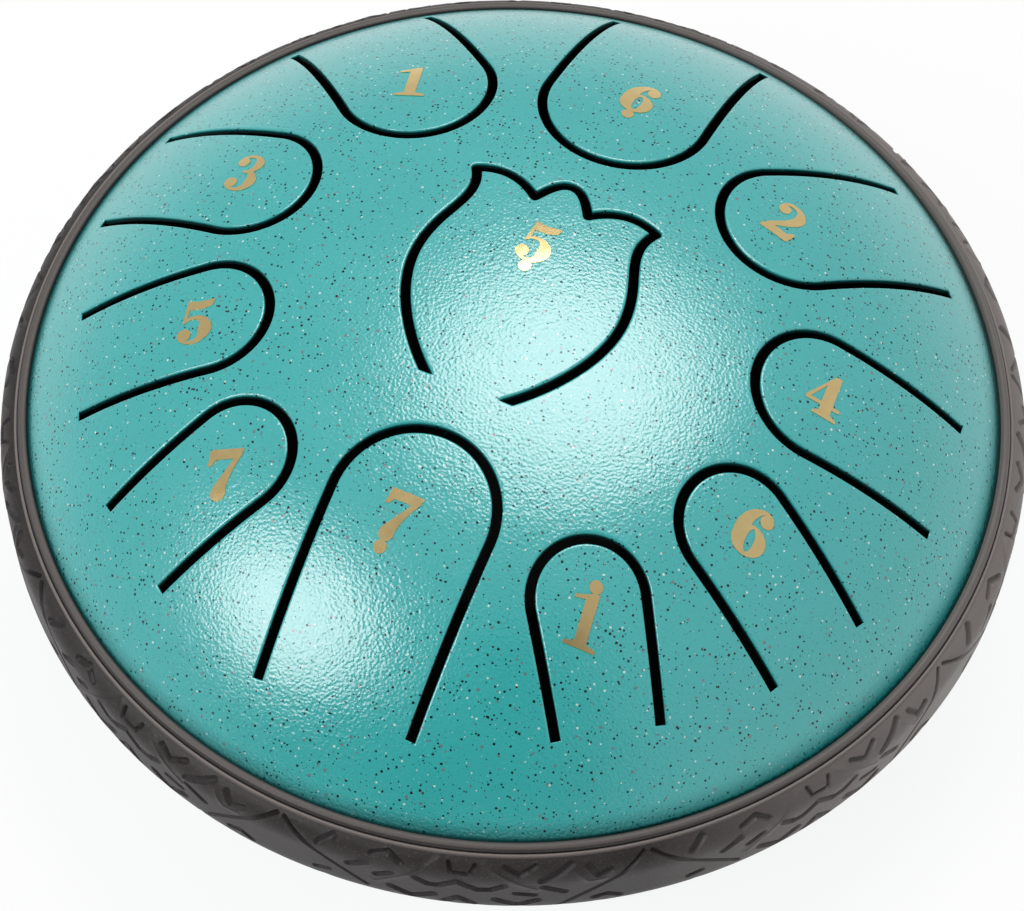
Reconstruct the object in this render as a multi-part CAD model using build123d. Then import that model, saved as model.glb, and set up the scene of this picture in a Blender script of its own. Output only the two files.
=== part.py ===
from build123d import *
import os
from math import atan2, cos, degrees, radians, sin, sqrt

os.makedirs("parts", exist_ok=True)

# A steel tongue drum, in millimetres. The origin is on the floor under the middle of the drum,
# +Z is up, and the player sits on the -Y side.

# Steel shells
SHEET = 1.5  # thickness of the steel
SHELL_RADIUS = 103.0  # outside of the wall where the two shells meet
WALL_HEIGHT = 2.3  # straight wall between the top shell's rim and its bend
BEND_RADIUS = 14.0  # bend from the wall into the dome, under the rubber ring
BEND_SLOPE = 51.5  # degrees, the dome's slope where that bend ends
SHOULDER_RADIUS = 96.0  # curvature of the dome's edge
CROWN_RADIUS = 205.0  # curvature of the dome's middle
BOWL_RADIUS = 40.0  # curvature of the bottom shell's edge, which is also its depth
FLANGE_WIDTH = 1.2  # how far the rims stand out from the wall
SOUND_HOLE_COLLAR = 3.0  # height of the edge that is drawn inwards round the hole
WELD_THICKNESS = 0.5
WELD_HEIGHT = 2.4

# Tongue pattern and sound hole. The lengths below, down to the tulip's, belong together: the whole
# pattern grows and shrinks with the shell, so that its circle stays this far in from the wall.
PATTERN_INSET = 14.0
PATTERN_RADIUS = 89.0  # circle round the pattern's middle that most rim tongues reach with their roots
PATTERN_SHIFT = 3.0  # how far behind the shell's axis the middle of the tongue pattern lies
SOUND_HOLE_RADIUS = 25.0

# Each rim tongue: the distances of its root, where it bends, and of its tip from the pattern's
# middle, then its widths at the root and at the tip, measured between the middles of its slots
RIM_TONGUES = {
    "low_7": (89.0, 36.8, 32.2, 33.0),
    "high_1": (88.0, 55.2, 20.4, 22.3),
    "6": (89.3, 52.7, 22.5, 22.9),
    "4": (89.3, 48.4, 26.1, 27.0),
    "2": (89.5, 43.0, 28.0, 29.8),
    "low_6": (91.0, 35.0, 34.6, 34.6),
    "1": (92.5, 43.0, 30.8, 31.7),
    "3": (93.5, 49.9, 25.4, 27.5),
    "5": (89.5, 50.2, 24.2, 24.6),
    "7": (89.2, 54.3, 21.5, 22.4),
}

# Degrees from the front to each tongue's middle line, counter-clockwise seen from above
TONGUE_ANGLES = {
    "low_7": 0.0,
    "high_1": 34.6,
    "6": 63.7,
    "4": 95.4,
    "2": 134.0,
    "low_6": 180.0,
    "1": -134.0,
    "3": -95.4,
    "5": -63.7,
    "7": -34.6,
}

# The tulip tongue in the middle, along the middle of its slot
TULIP_SHIFT = -0.7  # how far to the side of the pattern's middle the tulip's own lies
TULIP_ROOT_HALF = 8.4
TULIP_ROOT_Y = -26.5
TULIP_FLANK_HALF = 16.0
TULIP_FLANK_Y = -18.0
TULIP_BELLY_HALF = 22.15
TULIP_BELLY_Y = -1.5
TULIP_WAIST_HALF = 20.6
TULIP_WAIST_Y = 8.0
TULIP_NECK_HALF = 18.15
TULIP_NECK_Y = 16.8
TULIP_CORNER_HALF = 19.7
TULIP_CORNER_Y = 22.4
TULIP_PETAL_HALF = 15.0
TULIP_PETAL_Y = 23.6
TULIP_VALLEY_HALF = 5.8
TULIP_VALLEY_Y = 20.0
TULIP_TOP_Y = 25.6
TULIP_TOP_START = (-0.6, 1.0)  # direction in which the middle petal rises
TULIP_NUMERAL_X = -0.6
TULIP_NUMERAL_Y = 9.2

# Slots, which stay as wide as the cutter
SLOT_WIDTH = 2.0
ROOT_GAP = 0.05  # hairline that frees a tongue from the shell
BAND_STEPS = 12  # points along each edge of the tulip's slot

# Numerals
NUMERAL_HEIGHT = 10.0
DOT_RADIUS = 1.3
DOT_OVERLAP = 0.15  # how far a dot runs into its numeral
FOIL_THICKNESS = 0.12
GLUE_LINE = 0.02

# Each rim tongue's numeral: the digit, where its dot is, how far it sits to the side, and how far
# in from the tip, as a share of the tongue's length
RIM_NUMERALS = {
    "low_7": ("seven", "below", -2.5, 0.358),
    "high_1": ("one", "above", -1.1, 0.435),
    "6": ("six", "none", 1.9, 0.377),
    "4": ("four", "none", 0.4, 0.35),
    "2": ("two", "none", 1.3, 0.307),
    "low_6": ("six", "below", -1.3, 0.4),
    "1": ("one", "none", 0.1, 0.378),
    "3": ("three", "none", -1.5, 0.407),
    "5": ("five", "none", 0.7, 0.387),
    "7": ("seven", "none", 1.4, 0.447),
}

# Degrees that each rim numeral is turned, counter-clockwise
NUMERAL_TURNS = {
    "low_7": -1.5,
    "high_1": 6.0,
    "6": 0.0,
    "4": 3.5,
    "2": -11.0,
    "low_6": -2.5,
    "1": 13.5,
    "3": -1.5,
    "5": 18.0,
    "7": 17.0,
}

# Rubber ring
RING_WALL = 3.2  # how far the ring stands out from the shells' wall
RING_HALF_HEIGHT = 10.0
RING_CORNER = 5.5
LIP_INSET = 3.0  # how far in from the wall the ring's lips end
LIP_BEAD_RADIUS = 1.05
LIP_STEP = 0.55  # how far the bead's middle lies below the lip's edge
RIDGE_RADIUS = 0.35
RIDGE_OFFSET = 2.45  # from the lip's edge out to the fine ridge beside the bead
RIDGE_RISE = 0.15  # how far the ridge's middle stands out of the ring
RING_CLEARANCE = 0.05

# Feet and their fasteners
FOOT_COUNT = 4
FOOT_INSET = 13.0  # how far in from the edge of the flat floor the feet stand
FOOT_HEIGHT = 8.0
FOOT_TOP_RADIUS = 9.0
FOOT_BOTTOM_RADIUS = 8.0
FOOT_EDGE = 1.0
FOOT_RECESS_DEPTH = 4.5
SCREW_RADIUS = 1.95
SCREW_CLEARANCE = 0.1
SCREW_HEAD_RADIUS = 3.5
SCREW_HEAD_HEIGHT = 2.4
SCREW_SOCKET = 1.25  # half the width of the hexagon socket
SCREW_SOCKET_DEPTH = 1.4
SCREW_END = 1.0  # how far the screw stands past its nut
WASHER_RADIUS = 4.4
WASHER_THICKNESS = 0.8
WASHER_CLEARANCE = 0.2
NUT_ACROSS_FLATS = 7.0
NUT_HEIGHT = 3.2
NUT_CLEARANCE = 0.05

# Levels and centres that follow from the sizes above
BASE_Z = FOOT_HEIGHT
SEAM_Z = BASE_Z + BOWL_RADIUS
STRETCH = (SHELL_RADIUS - PATTERN_INSET) / PATTERN_RADIUS
HOLE_RADIUS = STRETCH * SOUND_HOLE_RADIUS
FOOT_CIRCLE_RADIUS = SHELL_RADIUS - BOWL_RADIUS - FOOT_INSET
RING_RADIUS = SHELL_RADIUS + RING_WALL
LIP_RADIUS = SHELL_RADIUS - LIP_INSET
SLOPE = radians(BEND_SLOPE)
BEND_CENTRE = (SHELL_RADIUS - BEND_RADIUS, SEAM_Z + WALL_HEIGHT)
SHOULDER_STEP = SHOULDER_RADIUS - BEND_RADIUS
SHOULDER_CENTRE = (BEND_CENTRE[0] - SHOULDER_STEP * sin(SLOPE), BEND_CENTRE[1] - SHOULDER_STEP * cos(SLOPE))
CROWN_DROP = sqrt((CROWN_RADIUS - SHOULDER_RADIUS) ** 2 - SHOULDER_CENTRE[0] ** 2)
CROWN_CENTRE = (0, SHOULDER_CENTRE[1] - CROWN_DROP)
APEX_Z = CROWN_CENTRE[1] + CROWN_RADIUS
LIP_Z = BEND_CENTRE[1] + sqrt(BEND_RADIUS**2 - (LIP_RADIUS - BEND_CENTRE[0]) ** 2)
HALF_SLOT = SLOT_WIDTH / 2


# Sections of the shells
def on_arc(centre, radius, slope):
    """Point of an arc of the half section where the skin has a slope, in radians."""
    return (centre[0] + radius * sin(slope), centre[1] + radius * cos(slope))


def dome_section(grow):
    """Half section of the space under the dome, with its skin moved outwards by grow."""
    crown_slope = atan2(SHOULDER_CENTRE[0], CROWN_DROP)
    slopes = [radians(90), SLOPE, crown_slope, 0]
    arcs = [
        (BEND_CENTRE, BEND_RADIUS + grow),
        (SHOULDER_CENTRE, SHOULDER_RADIUS + grow),
        (CROWN_CENTRE, CROWN_RADIUS + grow),
    ]
    base = (SHELL_RADIUS + grow, SEAM_Z)
    edges = [Line((0, SEAM_Z), base), Line(base, on_arc(*arcs[0], slopes[0]))]
    for arc, low, high in zip(arcs, slopes, slopes[1:]):
        edges.append(ThreePointArc(on_arc(*arc, low), on_arc(*arc, (low + high) / 2), on_arc(*arc, high)))
    edges.append(Line((0, APEX_Z + grow), (0, SEAM_Z)))
    return make_face(edges)


def bowl_section(grow):
    """Half section of the space in the bottom shell, with its skin moved outwards by grow."""
    centre = SHELL_RADIUS - BOWL_RADIUS
    radius = BOWL_RADIUS + grow
    wall = (centre + radius, SEAM_Z)
    middle = (centre + radius * cos(radians(45)), SEAM_Z - radius * sin(radians(45)))
    floor = (centre, SEAM_Z - radius)
    edges = [
        Line((0, SEAM_Z), wall),
        ThreePointArc(wall, middle, floor),
        Line(floor, (0, SEAM_Z - radius)),
        Line((0, SEAM_Z - radius), (0, SEAM_Z)),
    ]
    return make_face(edges)


def box_section(inner, outer, low, high):
    """Rectangle of a half section, from one radius and level to another."""
    return Pos((inner + outer) / 2, (low + high) / 2) * Rectangle(outer - inner, high - low)


def turned(section):
    """Turns a half section once round the drum's axis."""
    return revolve(Plane.XZ * section, Axis.Z)


def upright(sketch):
    """Prism of a plan sketch through the whole height of the dome."""
    return extrude(Pos(0, 0, SEAM_Z) * sketch, amount=APEX_Z - SEAM_Z + SHEET)


# Plan helpers
def stroke(*points):
    """Pen stroke through points of x, y and half width, with square ends."""
    left = []
    right = []
    befores = points[:1] + points[:-1]
    afters = points[1:] + points[-1:]
    for before, (x, y, half), after in zip(befores, points, afters):
        along = Vector(after[0] - before[0], after[1] - before[1]).normalized()
        left.append((x - along.Y * half, y + along.X * half))
        right.append((x + along.Y * half, y - along.X * half))
    edges = [Spline(*left), Line(left[-1], right[-1]), Spline(*right), Line(right[0], left[0])]
    return make_face(edges)


def ball(x, y, radius):
    return Pos(x, y) * Circle(radius)


# Plans of the tongues
def in_pattern(*place):
    """Place of the tongue pattern, as drawn, on the real shell."""
    x, y = place
    return Pos(STRETCH * x, STRETCH * (y + PATTERN_SHIFT))


def rim_plan(name, side):
    """Plan of a rim tongue. Side is 1 for its window in the shell and -1 for the tongue itself."""
    reach, tip, root_width, tip_width = [STRETCH * length for length in RIM_TONGUES[name]]
    root_half = root_width / 2 + side * HALF_SLOT
    tip_half = tip_width / 2 + side * HALF_SLOT
    shoulder = tip + tip_width / 2
    root = reach - (ROOT_GAP if side < 0 else 0)
    edges = [
        Line((root_half, -root), (tip_half, -shoulder)),
        ThreePointArc((tip_half, -shoulder), (0, tip_half - shoulder), (-tip_half, -shoulder)),
        Line((-tip_half, -shoulder), (-root_half, -root)),
        Line((-root_half, -root), (root_half, -root)),
    ]
    return in_pattern(0, 0) * Rot(0, 0, TONGUE_ANGLES[name]) * make_face(edges)


def tulip_edges():
    """Right half of the middle line of the tulip's slot as drawn, and the edge that runs on past its root."""
    slope = (TULIP_FLANK_HALF - TULIP_ROOT_HALF) / (TULIP_FLANK_Y - TULIP_ROOT_Y)
    run_on = 2 * SLOT_WIDTH
    foot = (TULIP_ROOT_HALF - run_on * slope, TULIP_ROOT_Y - run_on)
    root = (TULIP_ROOT_HALF, TULIP_ROOT_Y)
    flank = (TULIP_FLANK_HALF, TULIP_FLANK_Y)
    belly = (TULIP_BELLY_HALF, TULIP_BELLY_Y)
    waist = (TULIP_WAIST_HALF, TULIP_WAIST_Y)
    neck = (TULIP_NECK_HALF, TULIP_NECK_Y)
    corner = (TULIP_CORNER_HALF, TULIP_CORNER_Y)
    petal = (TULIP_PETAL_HALF, TULIP_PETAL_Y)
    valley = (TULIP_VALLEY_HALF, TULIP_VALLEY_Y)
    top = (0, TULIP_TOP_Y)
    edges = [
        Line(foot, root),
        Spline(root, flank, belly, waist, neck, corner),
        Spline(corner, petal, valley),
        Spline(valley, top, tangents=(TULIP_TOP_START, (-1, 0))),
    ]
    return [scale(edge, STRETCH) for edge in edges]


def slot_band(edge):
    """Strip as wide as a slot along an edge, rounded at both of its ends."""
    points = [edge @ (step / BAND_STEPS) for step in range(BAND_STEPS + 1)]
    band = stroke(*[(point.X, point.Y, HALF_SLOT) for point in points])
    for end in (points[0], points[-1]):
        band += ball(end.X, end.Y, HALF_SLOT)
    return band


def tulip_plan(side):
    """Plan of the tulip tongue, with side as for a rim tongue."""
    right = tulip_edges()
    left = [edge.mirror(Plane.YZ) for edge in right]
    foot = right[0] @ 0
    middle = make_face(right + left + [Line(foot, (-foot.X, foot.Y))])
    bands = [slot_band(edge) for edge in right + left]
    outline = middle + bands if side > 0 else middle - bands
    root = STRETCH * TULIP_ROOT_Y + (ROOT_GAP if side < 0 else 0)
    reach = STRETCH * TULIP_TOP_Y + SLOT_WIDTH - root
    room = Pos(0, root + reach / 2) * Rectangle(2 * (STRETCH * TULIP_BELLY_HALF + SLOT_WIDTH), reach)
    return in_pattern(TULIP_SHIFT, 0) * (outline & room)


# Numerals, drawn in a cell that is one unit high with its foot at zero
def slab(*points):
    return make_face(Polyline(*points, close=True))


def one():
    stem = slab((-0.12, 0), (0.12, 0), (0.12, 1), (0, 1), (-0.12, 0.93))
    foot = slab((-0.32, 0), (0.32, 0), (0.32, 0.06), (0.12, 0.11), (-0.12, 0.11), (-0.32, 0.06))
    flag = slab((-0.34, 0.82), (-0.1, 0.85), (0, 1), (-0.12, 0.94), (-0.34, 0.88))
    return stem + foot + flag


def two():
    hook = stroke(
        (-0.29, 0.8, 0.03), (-0.16, 0.955, 0.04), (0.05, 0.94, 0.06), (0.19, 0.74, 0.115),
        (0.06, 0.45, 0.085), (-0.14, 0.25, 0.06), (-0.3, 0.06, 0.03),
    )
    base = slab(
        (-0.34, 0), (0.3, 0), (0.35, 0.29), (0.28, 0.29), (0.2, 0.19), (-0.2, 0.21), (-0.33, 0.1),
    )
    return hook + base + ball(-0.19, 0.76, 0.13)


def three():
    upper = stroke(
        (-0.27, 0.85, 0.03), (-0.12, 0.96, 0.035), (0.07, 0.945, 0.05), (0.18, 0.77, 0.1),
        (0.1, 0.59, 0.06), (-0.08, 0.52, 0.03),
    )
    lower = stroke(
        (-0.08, 0.52, 0.03), (0.1, 0.5, 0.05), (0.21, 0.29, 0.12), (0.09, 0.065, 0.06),
        (-0.12, 0.035, 0.035), (-0.28, 0.13, 0.03),
    )
    return upper + lower + ball(-0.19, 0.79, 0.125) + ball(-0.2, 0.2, 0.135)


def four():
    stem = slab((-0.04, 0), (0.2, 0), (0.2, 1), (0.08, 1), (-0.04, 0.82))
    foot = slab((-0.16, 0), (0.35, 0), (0.35, 0.06), (0.2, 0.11), (-0.04, 0.11), (-0.16, 0.06))
    bar = slab((-0.36, 0.24), (0.35, 0.24), (0.35, 0.32), (-0.36, 0.32))
    slope = slab((-0.36, 0.24), (-0.27, 0.31), (0.1, 0.96), (0.08, 1), (-0.36, 0.31))
    return stem + foot + bar + slope


def five():
    flag = slab(
        (-0.21, 1), (0.02, 0.96), (0.3, 0.99), (0.35, 0.99), (0.3, 0.85), (0.14, 0.78), (-0.18, 0.78),
    )
    spine = slab((-0.21, 1), (-0.15, 0.98), (-0.17, 0.52), (-0.26, 0.47))
    bowl = stroke(
        (-0.25, 0.49, 0.03), (-0.09, 0.59, 0.035), (0.09, 0.57, 0.06), (0.22, 0.33, 0.135),
        (0.08, 0.065, 0.06), (-0.12, 0.04, 0.035), (-0.27, 0.13, 0.03),
    )
    return flag + spine + bowl + ball(-0.2, 0.21, 0.14)


def six():
    bowl = Pos(0, 0.31) * Ellipse(0.345, 0.31)
    counter = Pos(0.02, 0.315) * Ellipse(0.085, 0.235)
    back = stroke(
        (-0.215, 0.36, 0.13), (-0.18, 0.64, 0.125), (-0.04, 0.88, 0.075), (0.12, 0.962, 0.036),
        (0.29, 0.88, 0.03),
    )
    return bowl - counter + back + ball(0.19, 0.81, 0.135)


def seven():
    bar = slab(
        (-0.26, 1), (0.41, 1), (0.41, 0.95), (0.27, 0.8), (-0.12, 0.8), (-0.21, 0.68), (-0.28, 0.68),
    )
    leg = stroke((0.34, 0.93, 0.07), (0.21, 0.66, 0.06), (0.09, 0.42, 0.09), (0, 0.17, 0.15))
    return bar + leg + ball(0, 0.15, 0.15)


DIGITS = {"one": one, "two": two, "three": three, "four": four, "five": five, "six": six, "seven": seven}
DOT_SIDES = {"above": 1, "below": -1}


def numeral_plan(digit, dot, place, turn):
    """Plan of a numeral and its dot, with the middle of the digit at a place in the pattern."""
    figure = Pos(0, -NUMERAL_HEIGHT / 2) * scale(DIGITS[digit](), NUMERAL_HEIGHT)
    if dot in DOT_SIDES:
        reach = NUMERAL_HEIGHT / 2 + DOT_RADIUS - DOT_OVERLAP
        figure += ball(0, DOT_SIDES[dot] * reach, DOT_RADIUS)
    return in_pattern(*place) * Rot(0, 0, turn) * figure


def rim_numeral_plan(name):
    tip = RIM_TONGUES[name][1]
    digit, dot, aside, share = RIM_NUMERALS[name]
    along = tip + share * (PATTERN_RADIUS - tip)
    place = Vector(aside, -along).rotate(Axis.Z, TONGUE_ANGLES[name])
    return numeral_plan(digit, dot, (place.X, place.Y), NUMERAL_TURNS[name])


def tulip_numeral_plan():
    return numeral_plan("five", "below", (TULIP_SHIFT + TULIP_NUMERAL_X, TULIP_NUMERAL_Y), 0)


# Shells, weld and ring
def make_top_shell():
    flange = box_section(SHELL_RADIUS - SHEET, SHELL_RADIUS + FLANGE_WIDTH, SEAM_Z, SEAM_Z + SHEET)
    shell = turned(dome_section(0) - dome_section(-SHEET) + flange)
    windows = [upright(rim_plan(name, 1)) for name in RIM_TONGUES]
    windows.append(upright(tulip_plan(1)))
    return shell - windows


def make_bottom_shell():
    flange = box_section(SHELL_RADIUS - SHEET, SHELL_RADIUS + FLANGE_WIDTH, SEAM_Z - SHEET, SEAM_Z)
    collar_top = BASE_Z + SHEET + SOUND_HOLE_COLLAR
    collar = box_section(HOLE_RADIUS, HOLE_RADIUS + SHEET, BASE_Z, collar_top)
    hole = box_section(0, HOLE_RADIUS, BASE_Z, collar_top)
    shell = turned(bowl_section(0) - bowl_section(-SHEET) + flange + collar - hole)
    screw_holes = foot_group(BASE_Z, Cylinder(SCREW_RADIUS + SCREW_CLEARANCE, 2 * SHEET))
    return shell - screw_holes


def make_seam_weld():
    inner = SHELL_RADIUS + FLANGE_WIDTH
    half = WELD_HEIGHT / 2
    return turned(box_section(inner, inner + WELD_THICKNESS, SEAM_Z - half, SEAM_Z + half))


def make_rubber_ring():
    inside = LIP_RADIUS - 2 * SHEET
    corner = (RING_RADIUS - RING_CORNER, SEAM_Z + RING_HALF_HEIGHT - RING_CORNER)
    ridge_radius = LIP_RADIUS + RIDGE_OFFSET
    ridge_z = corner[1] + sqrt(RING_CORNER**2 - (ridge_radius - corner[0]) ** 2) + RIDGE_RISE
    bead = ball(LIP_RADIUS + LIP_BEAD_RADIUS, LIP_Z - LIP_STEP, LIP_BEAD_RADIUS)
    half = bead + ball(ridge_radius, ridge_z, RIDGE_RADIUS) + ball(*corner, RING_CORNER)
    half += box_section(inside, corner[0], SEAM_Z, SEAM_Z + RING_HALF_HEIGHT)
    half += box_section(inside, RING_RADIUS, SEAM_Z, corner[1])
    section = half + half.mirror(Plane.XZ.offset(-SEAM_Z))
    rim_inner = SHELL_RADIUS - SHEET
    rim_outer = SHELL_RADIUS + FLANGE_WIDTH + WELD_THICKNESS + RING_CLEARANCE
    rim_half = SHEET + RING_CLEARANCE
    core = dome_section(RING_CLEARANCE) + bowl_section(RING_CLEARANCE)
    core += box_section(rim_inner, rim_outer, SEAM_Z - rim_half, SEAM_Z + rim_half)
    return turned(section - core)


# Feet and fasteners
def foot_places():
    return PolarLocations(FOOT_CIRCLE_RADIUS, FOOT_COUNT, start_angle=180 / FOOT_COUNT)


def foot_group(level, solid):
    """One copy of a solid on each foot's axis, with its own middle at a level."""
    return [place * Pos(0, 0, level) * solid for place in foot_places()]


def make_foot():
    body = Pos(0, 0, FOOT_HEIGHT / 2) * Cone(FOOT_BOTTOM_RADIUS, FOOT_TOP_RADIUS, FOOT_HEIGHT)
    body = fillet(body.edges().group_by(Axis.Z)[0], FOOT_EDGE)
    recess = Cylinder(WASHER_RADIUS + WASHER_CLEARANCE, 2 * FOOT_RECESS_DEPTH)
    bore = Cylinder(SCREW_RADIUS + SCREW_CLEARANCE, 3 * FOOT_HEIGHT)
    return body - recess - bore


def make_washer():
    level = FOOT_RECESS_DEPTH - WASHER_THICKNESS / 2
    ring = Circle(WASHER_RADIUS) - Circle(SCREW_RADIUS + SCREW_CLEARANCE)
    return Pos(0, 0, level - WASHER_THICKNESS / 2) * extrude(ring, amount=WASHER_THICKNESS)


def make_screw():
    seat = FOOT_RECESS_DEPTH - WASHER_THICKNESS
    top = BASE_Z + SHEET + NUT_HEIGHT + SCREW_END
    head = Pos(0, 0, seat - SCREW_HEAD_HEIGHT / 2) * Cylinder(SCREW_HEAD_RADIUS, SCREW_HEAD_HEIGHT)
    head = fillet(head.edges().group_by(Axis.Z)[0], SCREW_HEAD_HEIGHT / 2)
    socket_plan = RegularPolygon(SCREW_SOCKET, 6, major_radius=False)
    socket = Pos(0, 0, seat - SCREW_HEAD_HEIGHT) * extrude(socket_plan, amount=SCREW_SOCKET_DEPTH)
    shank = Pos(0, 0, (seat + top) / 2) * Cylinder(SCREW_RADIUS, top - seat)
    return head + shank - socket


def make_nut():
    plan = RegularPolygon(NUT_ACROSS_FLATS / 2, 6, major_radius=False)
    plan -= Circle(SCREW_RADIUS + NUT_CLEARANCE)
    return Pos(0, 0, BASE_Z + SHEET) * extrude(plan, amount=NUT_HEIGHT)


# All the pieces, each in its own node
pieces = {
    "top_shell": make_top_shell(),
    "bottom_shell": make_bottom_shell(),
    "seam_weld": make_seam_weld(),
    "rubber_ring": make_rubber_ring(),
    "foot_washers": Compound(foot_group(0, make_washer())),
    "foot_screws": Compound(foot_group(0, make_screw())),
    "foot_nuts": Compound(foot_group(0, make_nut())),
}
for number, foot in enumerate(foot_group(0, make_foot()), start=1):
    pieces[f"foot_{number}"] = foot

dome_wall = turned(dome_section(0) - dome_section(-SHEET))
foil = turned(dome_section(GLUE_LINE + FOIL_THICKNESS) - dome_section(GLUE_LINE))
for name in RIM_TONGUES:
    pieces[f"tongue_{name}"] = dome_wall & upright(rim_plan(name, -1))
    pieces[f"numeral_{name}"] = foil & upright(rim_numeral_plan(name))
pieces["tongue_low_5"] = dome_wall & upright(tulip_plan(-1))
pieces["numeral_low_5"] = foil & upright(tulip_numeral_plan())

for name, piece in pieces.items():
    export_step(piece, f"parts/{name}.step")
    volume = round(piece.volume, 2)
    print(name, "solids", len(piece.solids()), "volume", volume, "mm3")
print("height", round(APEX_Z, 2), "ring diameter", 2 * RING_RADIUS, "lip level", round(LIP_Z, 2))
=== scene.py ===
# %% [markdown]
# # A steel tongue drum
# The drum is two steel shells with a rubber ring over their seam. Eleven tongues are cut into the
# top shell, and each one carries a gold numeral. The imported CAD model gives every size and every
# joint. This lesson puts the paint, the rounded cut edges, the foil and the moulded rubber on it.

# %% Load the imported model
from math import asin, atan2, cos, pi, radians, sin, sqrt

import bpy
import numpy as np
from mathutils import Matrix, Vector
from mathutils.geometry import delaunay_2d_cdt


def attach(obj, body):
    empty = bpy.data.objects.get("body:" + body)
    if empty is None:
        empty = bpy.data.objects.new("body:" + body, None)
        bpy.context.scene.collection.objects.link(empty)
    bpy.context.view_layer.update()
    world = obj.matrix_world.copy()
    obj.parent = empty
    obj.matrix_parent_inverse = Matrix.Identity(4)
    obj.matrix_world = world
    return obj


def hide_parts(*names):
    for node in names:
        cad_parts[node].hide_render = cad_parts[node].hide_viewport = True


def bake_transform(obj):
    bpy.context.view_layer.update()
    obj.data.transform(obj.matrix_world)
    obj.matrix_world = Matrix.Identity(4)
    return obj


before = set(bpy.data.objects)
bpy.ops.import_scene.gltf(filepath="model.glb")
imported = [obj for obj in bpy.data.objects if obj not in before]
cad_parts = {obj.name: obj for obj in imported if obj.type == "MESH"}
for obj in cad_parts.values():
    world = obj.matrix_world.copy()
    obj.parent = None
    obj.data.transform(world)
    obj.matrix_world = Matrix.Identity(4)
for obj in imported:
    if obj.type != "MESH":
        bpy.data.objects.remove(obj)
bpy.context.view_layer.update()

MM = 0.001

# %% [markdown]
# ## Sizes
# The lengths are in millimetres and repeat the part's own. Keeping them together makes the lesson
# easy to follow: every outline below is worked out from these numbers.

# %% Sizes of the shells, the slots and the ring
SHEET = 1.5
SHELL_RADIUS = 103.0
SEAM_Z = 48.0
BASE_Z = 8.0
BEND_RADIUS = 14.0
BEND_CENTRE = (89.0, 50.3)
BEND_SLOPE = radians(51.5)
SHOULDER_RADIUS = 96.0
CROWN_RADIUS = 205.0
FLANGE_WIDTH = 1.2
BOWL_RADIUS = 40.0
HOLE_RADIUS = 25.0
HOLE_COLLAR = 3.0

SLOT_WIDTH = 2.0
PATTERN_SHIFT = 3.0

SHOULDER_CENTRE = (
    BEND_CENTRE[0] - (SHOULDER_RADIUS - BEND_RADIUS) * sin(BEND_SLOPE),
    BEND_CENTRE[1] - (SHOULDER_RADIUS - BEND_RADIUS) * cos(BEND_SLOPE),
)
CROWN_DROP = sqrt((CROWN_RADIUS - SHOULDER_RADIUS) ** 2 - SHOULDER_CENTRE[0] ** 2)
CROWN_Z = SHOULDER_CENTRE[1] - CROWN_DROP
CROWN_SLOPE = atan2(SHOULDER_CENTRE[0], CROWN_DROP)
print("top of the dome", round(CROWN_Z + CROWN_RADIUS, 2), "mm")

# %% [markdown]
# ## The dome as a function
# The pressed dome is a flat crown that runs into a tighter shoulder. Its height follows from the
# distance to the axis alone, so a short function gives the level of any point of the sheet, on
# its outside or, with a negative growth, on its inside.


# %% Level of the dome
def dome_level(x, y, grow=0.0):
    """Height of the dome's skin over a point of the plan, with the skin moved outwards by grow."""
    radius = np.hypot(x, y)
    crown = CROWN_Z + np.sqrt(np.maximum((CROWN_RADIUS + grow) ** 2 - radius**2, 0))
    reach = np.minimum(radius - SHOULDER_CENTRE[0], SHOULDER_RADIUS + grow)
    shoulder = SHOULDER_CENTRE[1] + np.sqrt((SHOULDER_RADIUS + grow) ** 2 - reach**2)
    return np.where(radius < (CROWN_RADIUS + grow) * sin(CROWN_SLOPE), crown, shoulder)


def dome_normals(x, y):
    """Directions that point straight out of the dome."""
    radius = np.maximum(np.hypot(x, y), 1e-9)
    on_crown = radius < CROWN_RADIUS * sin(CROWN_SLOPE)
    tilt = np.where(on_crown, radius / CROWN_RADIUS, (radius - SHOULDER_CENTRE[0]) / SHOULDER_RADIUS)
    return np.stack([x / radius * tilt, y / radius * tilt, np.sqrt(1 - tilt**2)], -1)


print("level at the middle and 90 mm out", dome_level(0, 0).round(2), dome_level(90, 0).round(2))

# %% [markdown]
# ## Outlines of the slots
# A rim tongue is freed by a slot in the shape of a U, and the middle tongue by one in the shape of
# a tulip. Each slot is a closed outline in the plan. Along a U the edges are lines and an arc.
# Along the tulip they are smooth lines through a few points, moved to both sides by half the
# width of the slot, with an arc round an outer corner and a clean cut at an inner one.

# %% Tools for lines in the plan
EDGE_STEP = 0.8


def run(start, end):
    """Evenly spaced points on a straight line."""
    start, end = np.array(start, float), np.array(end, float)
    steps = max(2, round(float(np.linalg.norm(end - start)) / EDGE_STEP) + 1)
    return start + np.linspace(0, 1, steps)[:, None] * (end - start)


def on_circle(centre, radius, turns):
    """Points of a circle at some angles."""
    return np.array(centre) + radius * np.stack([np.cos(turns), np.sin(turns)], -1)


def arc(centre, radius, first, last, step=EDGE_STEP):
    """Evenly spaced points on an arc, between two angles."""
    steps = max(4, round(abs(last - first) * radius / step) + 1)
    return on_circle(centre, radius, np.linspace(first, last, steps))


def chain(*lines):
    """One line from several, without the doubled points where they meet."""
    points = np.concatenate(lines)
    gaps = np.linalg.norm(np.diff(points, axis=0), axis=1)
    return points[np.concatenate([[True], gaps > 1e-6])]


def moved_aside(line, distance):
    """An open line moved to its right-hand side."""
    along = np.gradient(line, axis=0)
    along /= np.linalg.norm(along, axis=1)[:, None]
    return line + distance * np.stack([along[:, 1], -along[:, 0]], -1)


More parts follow.
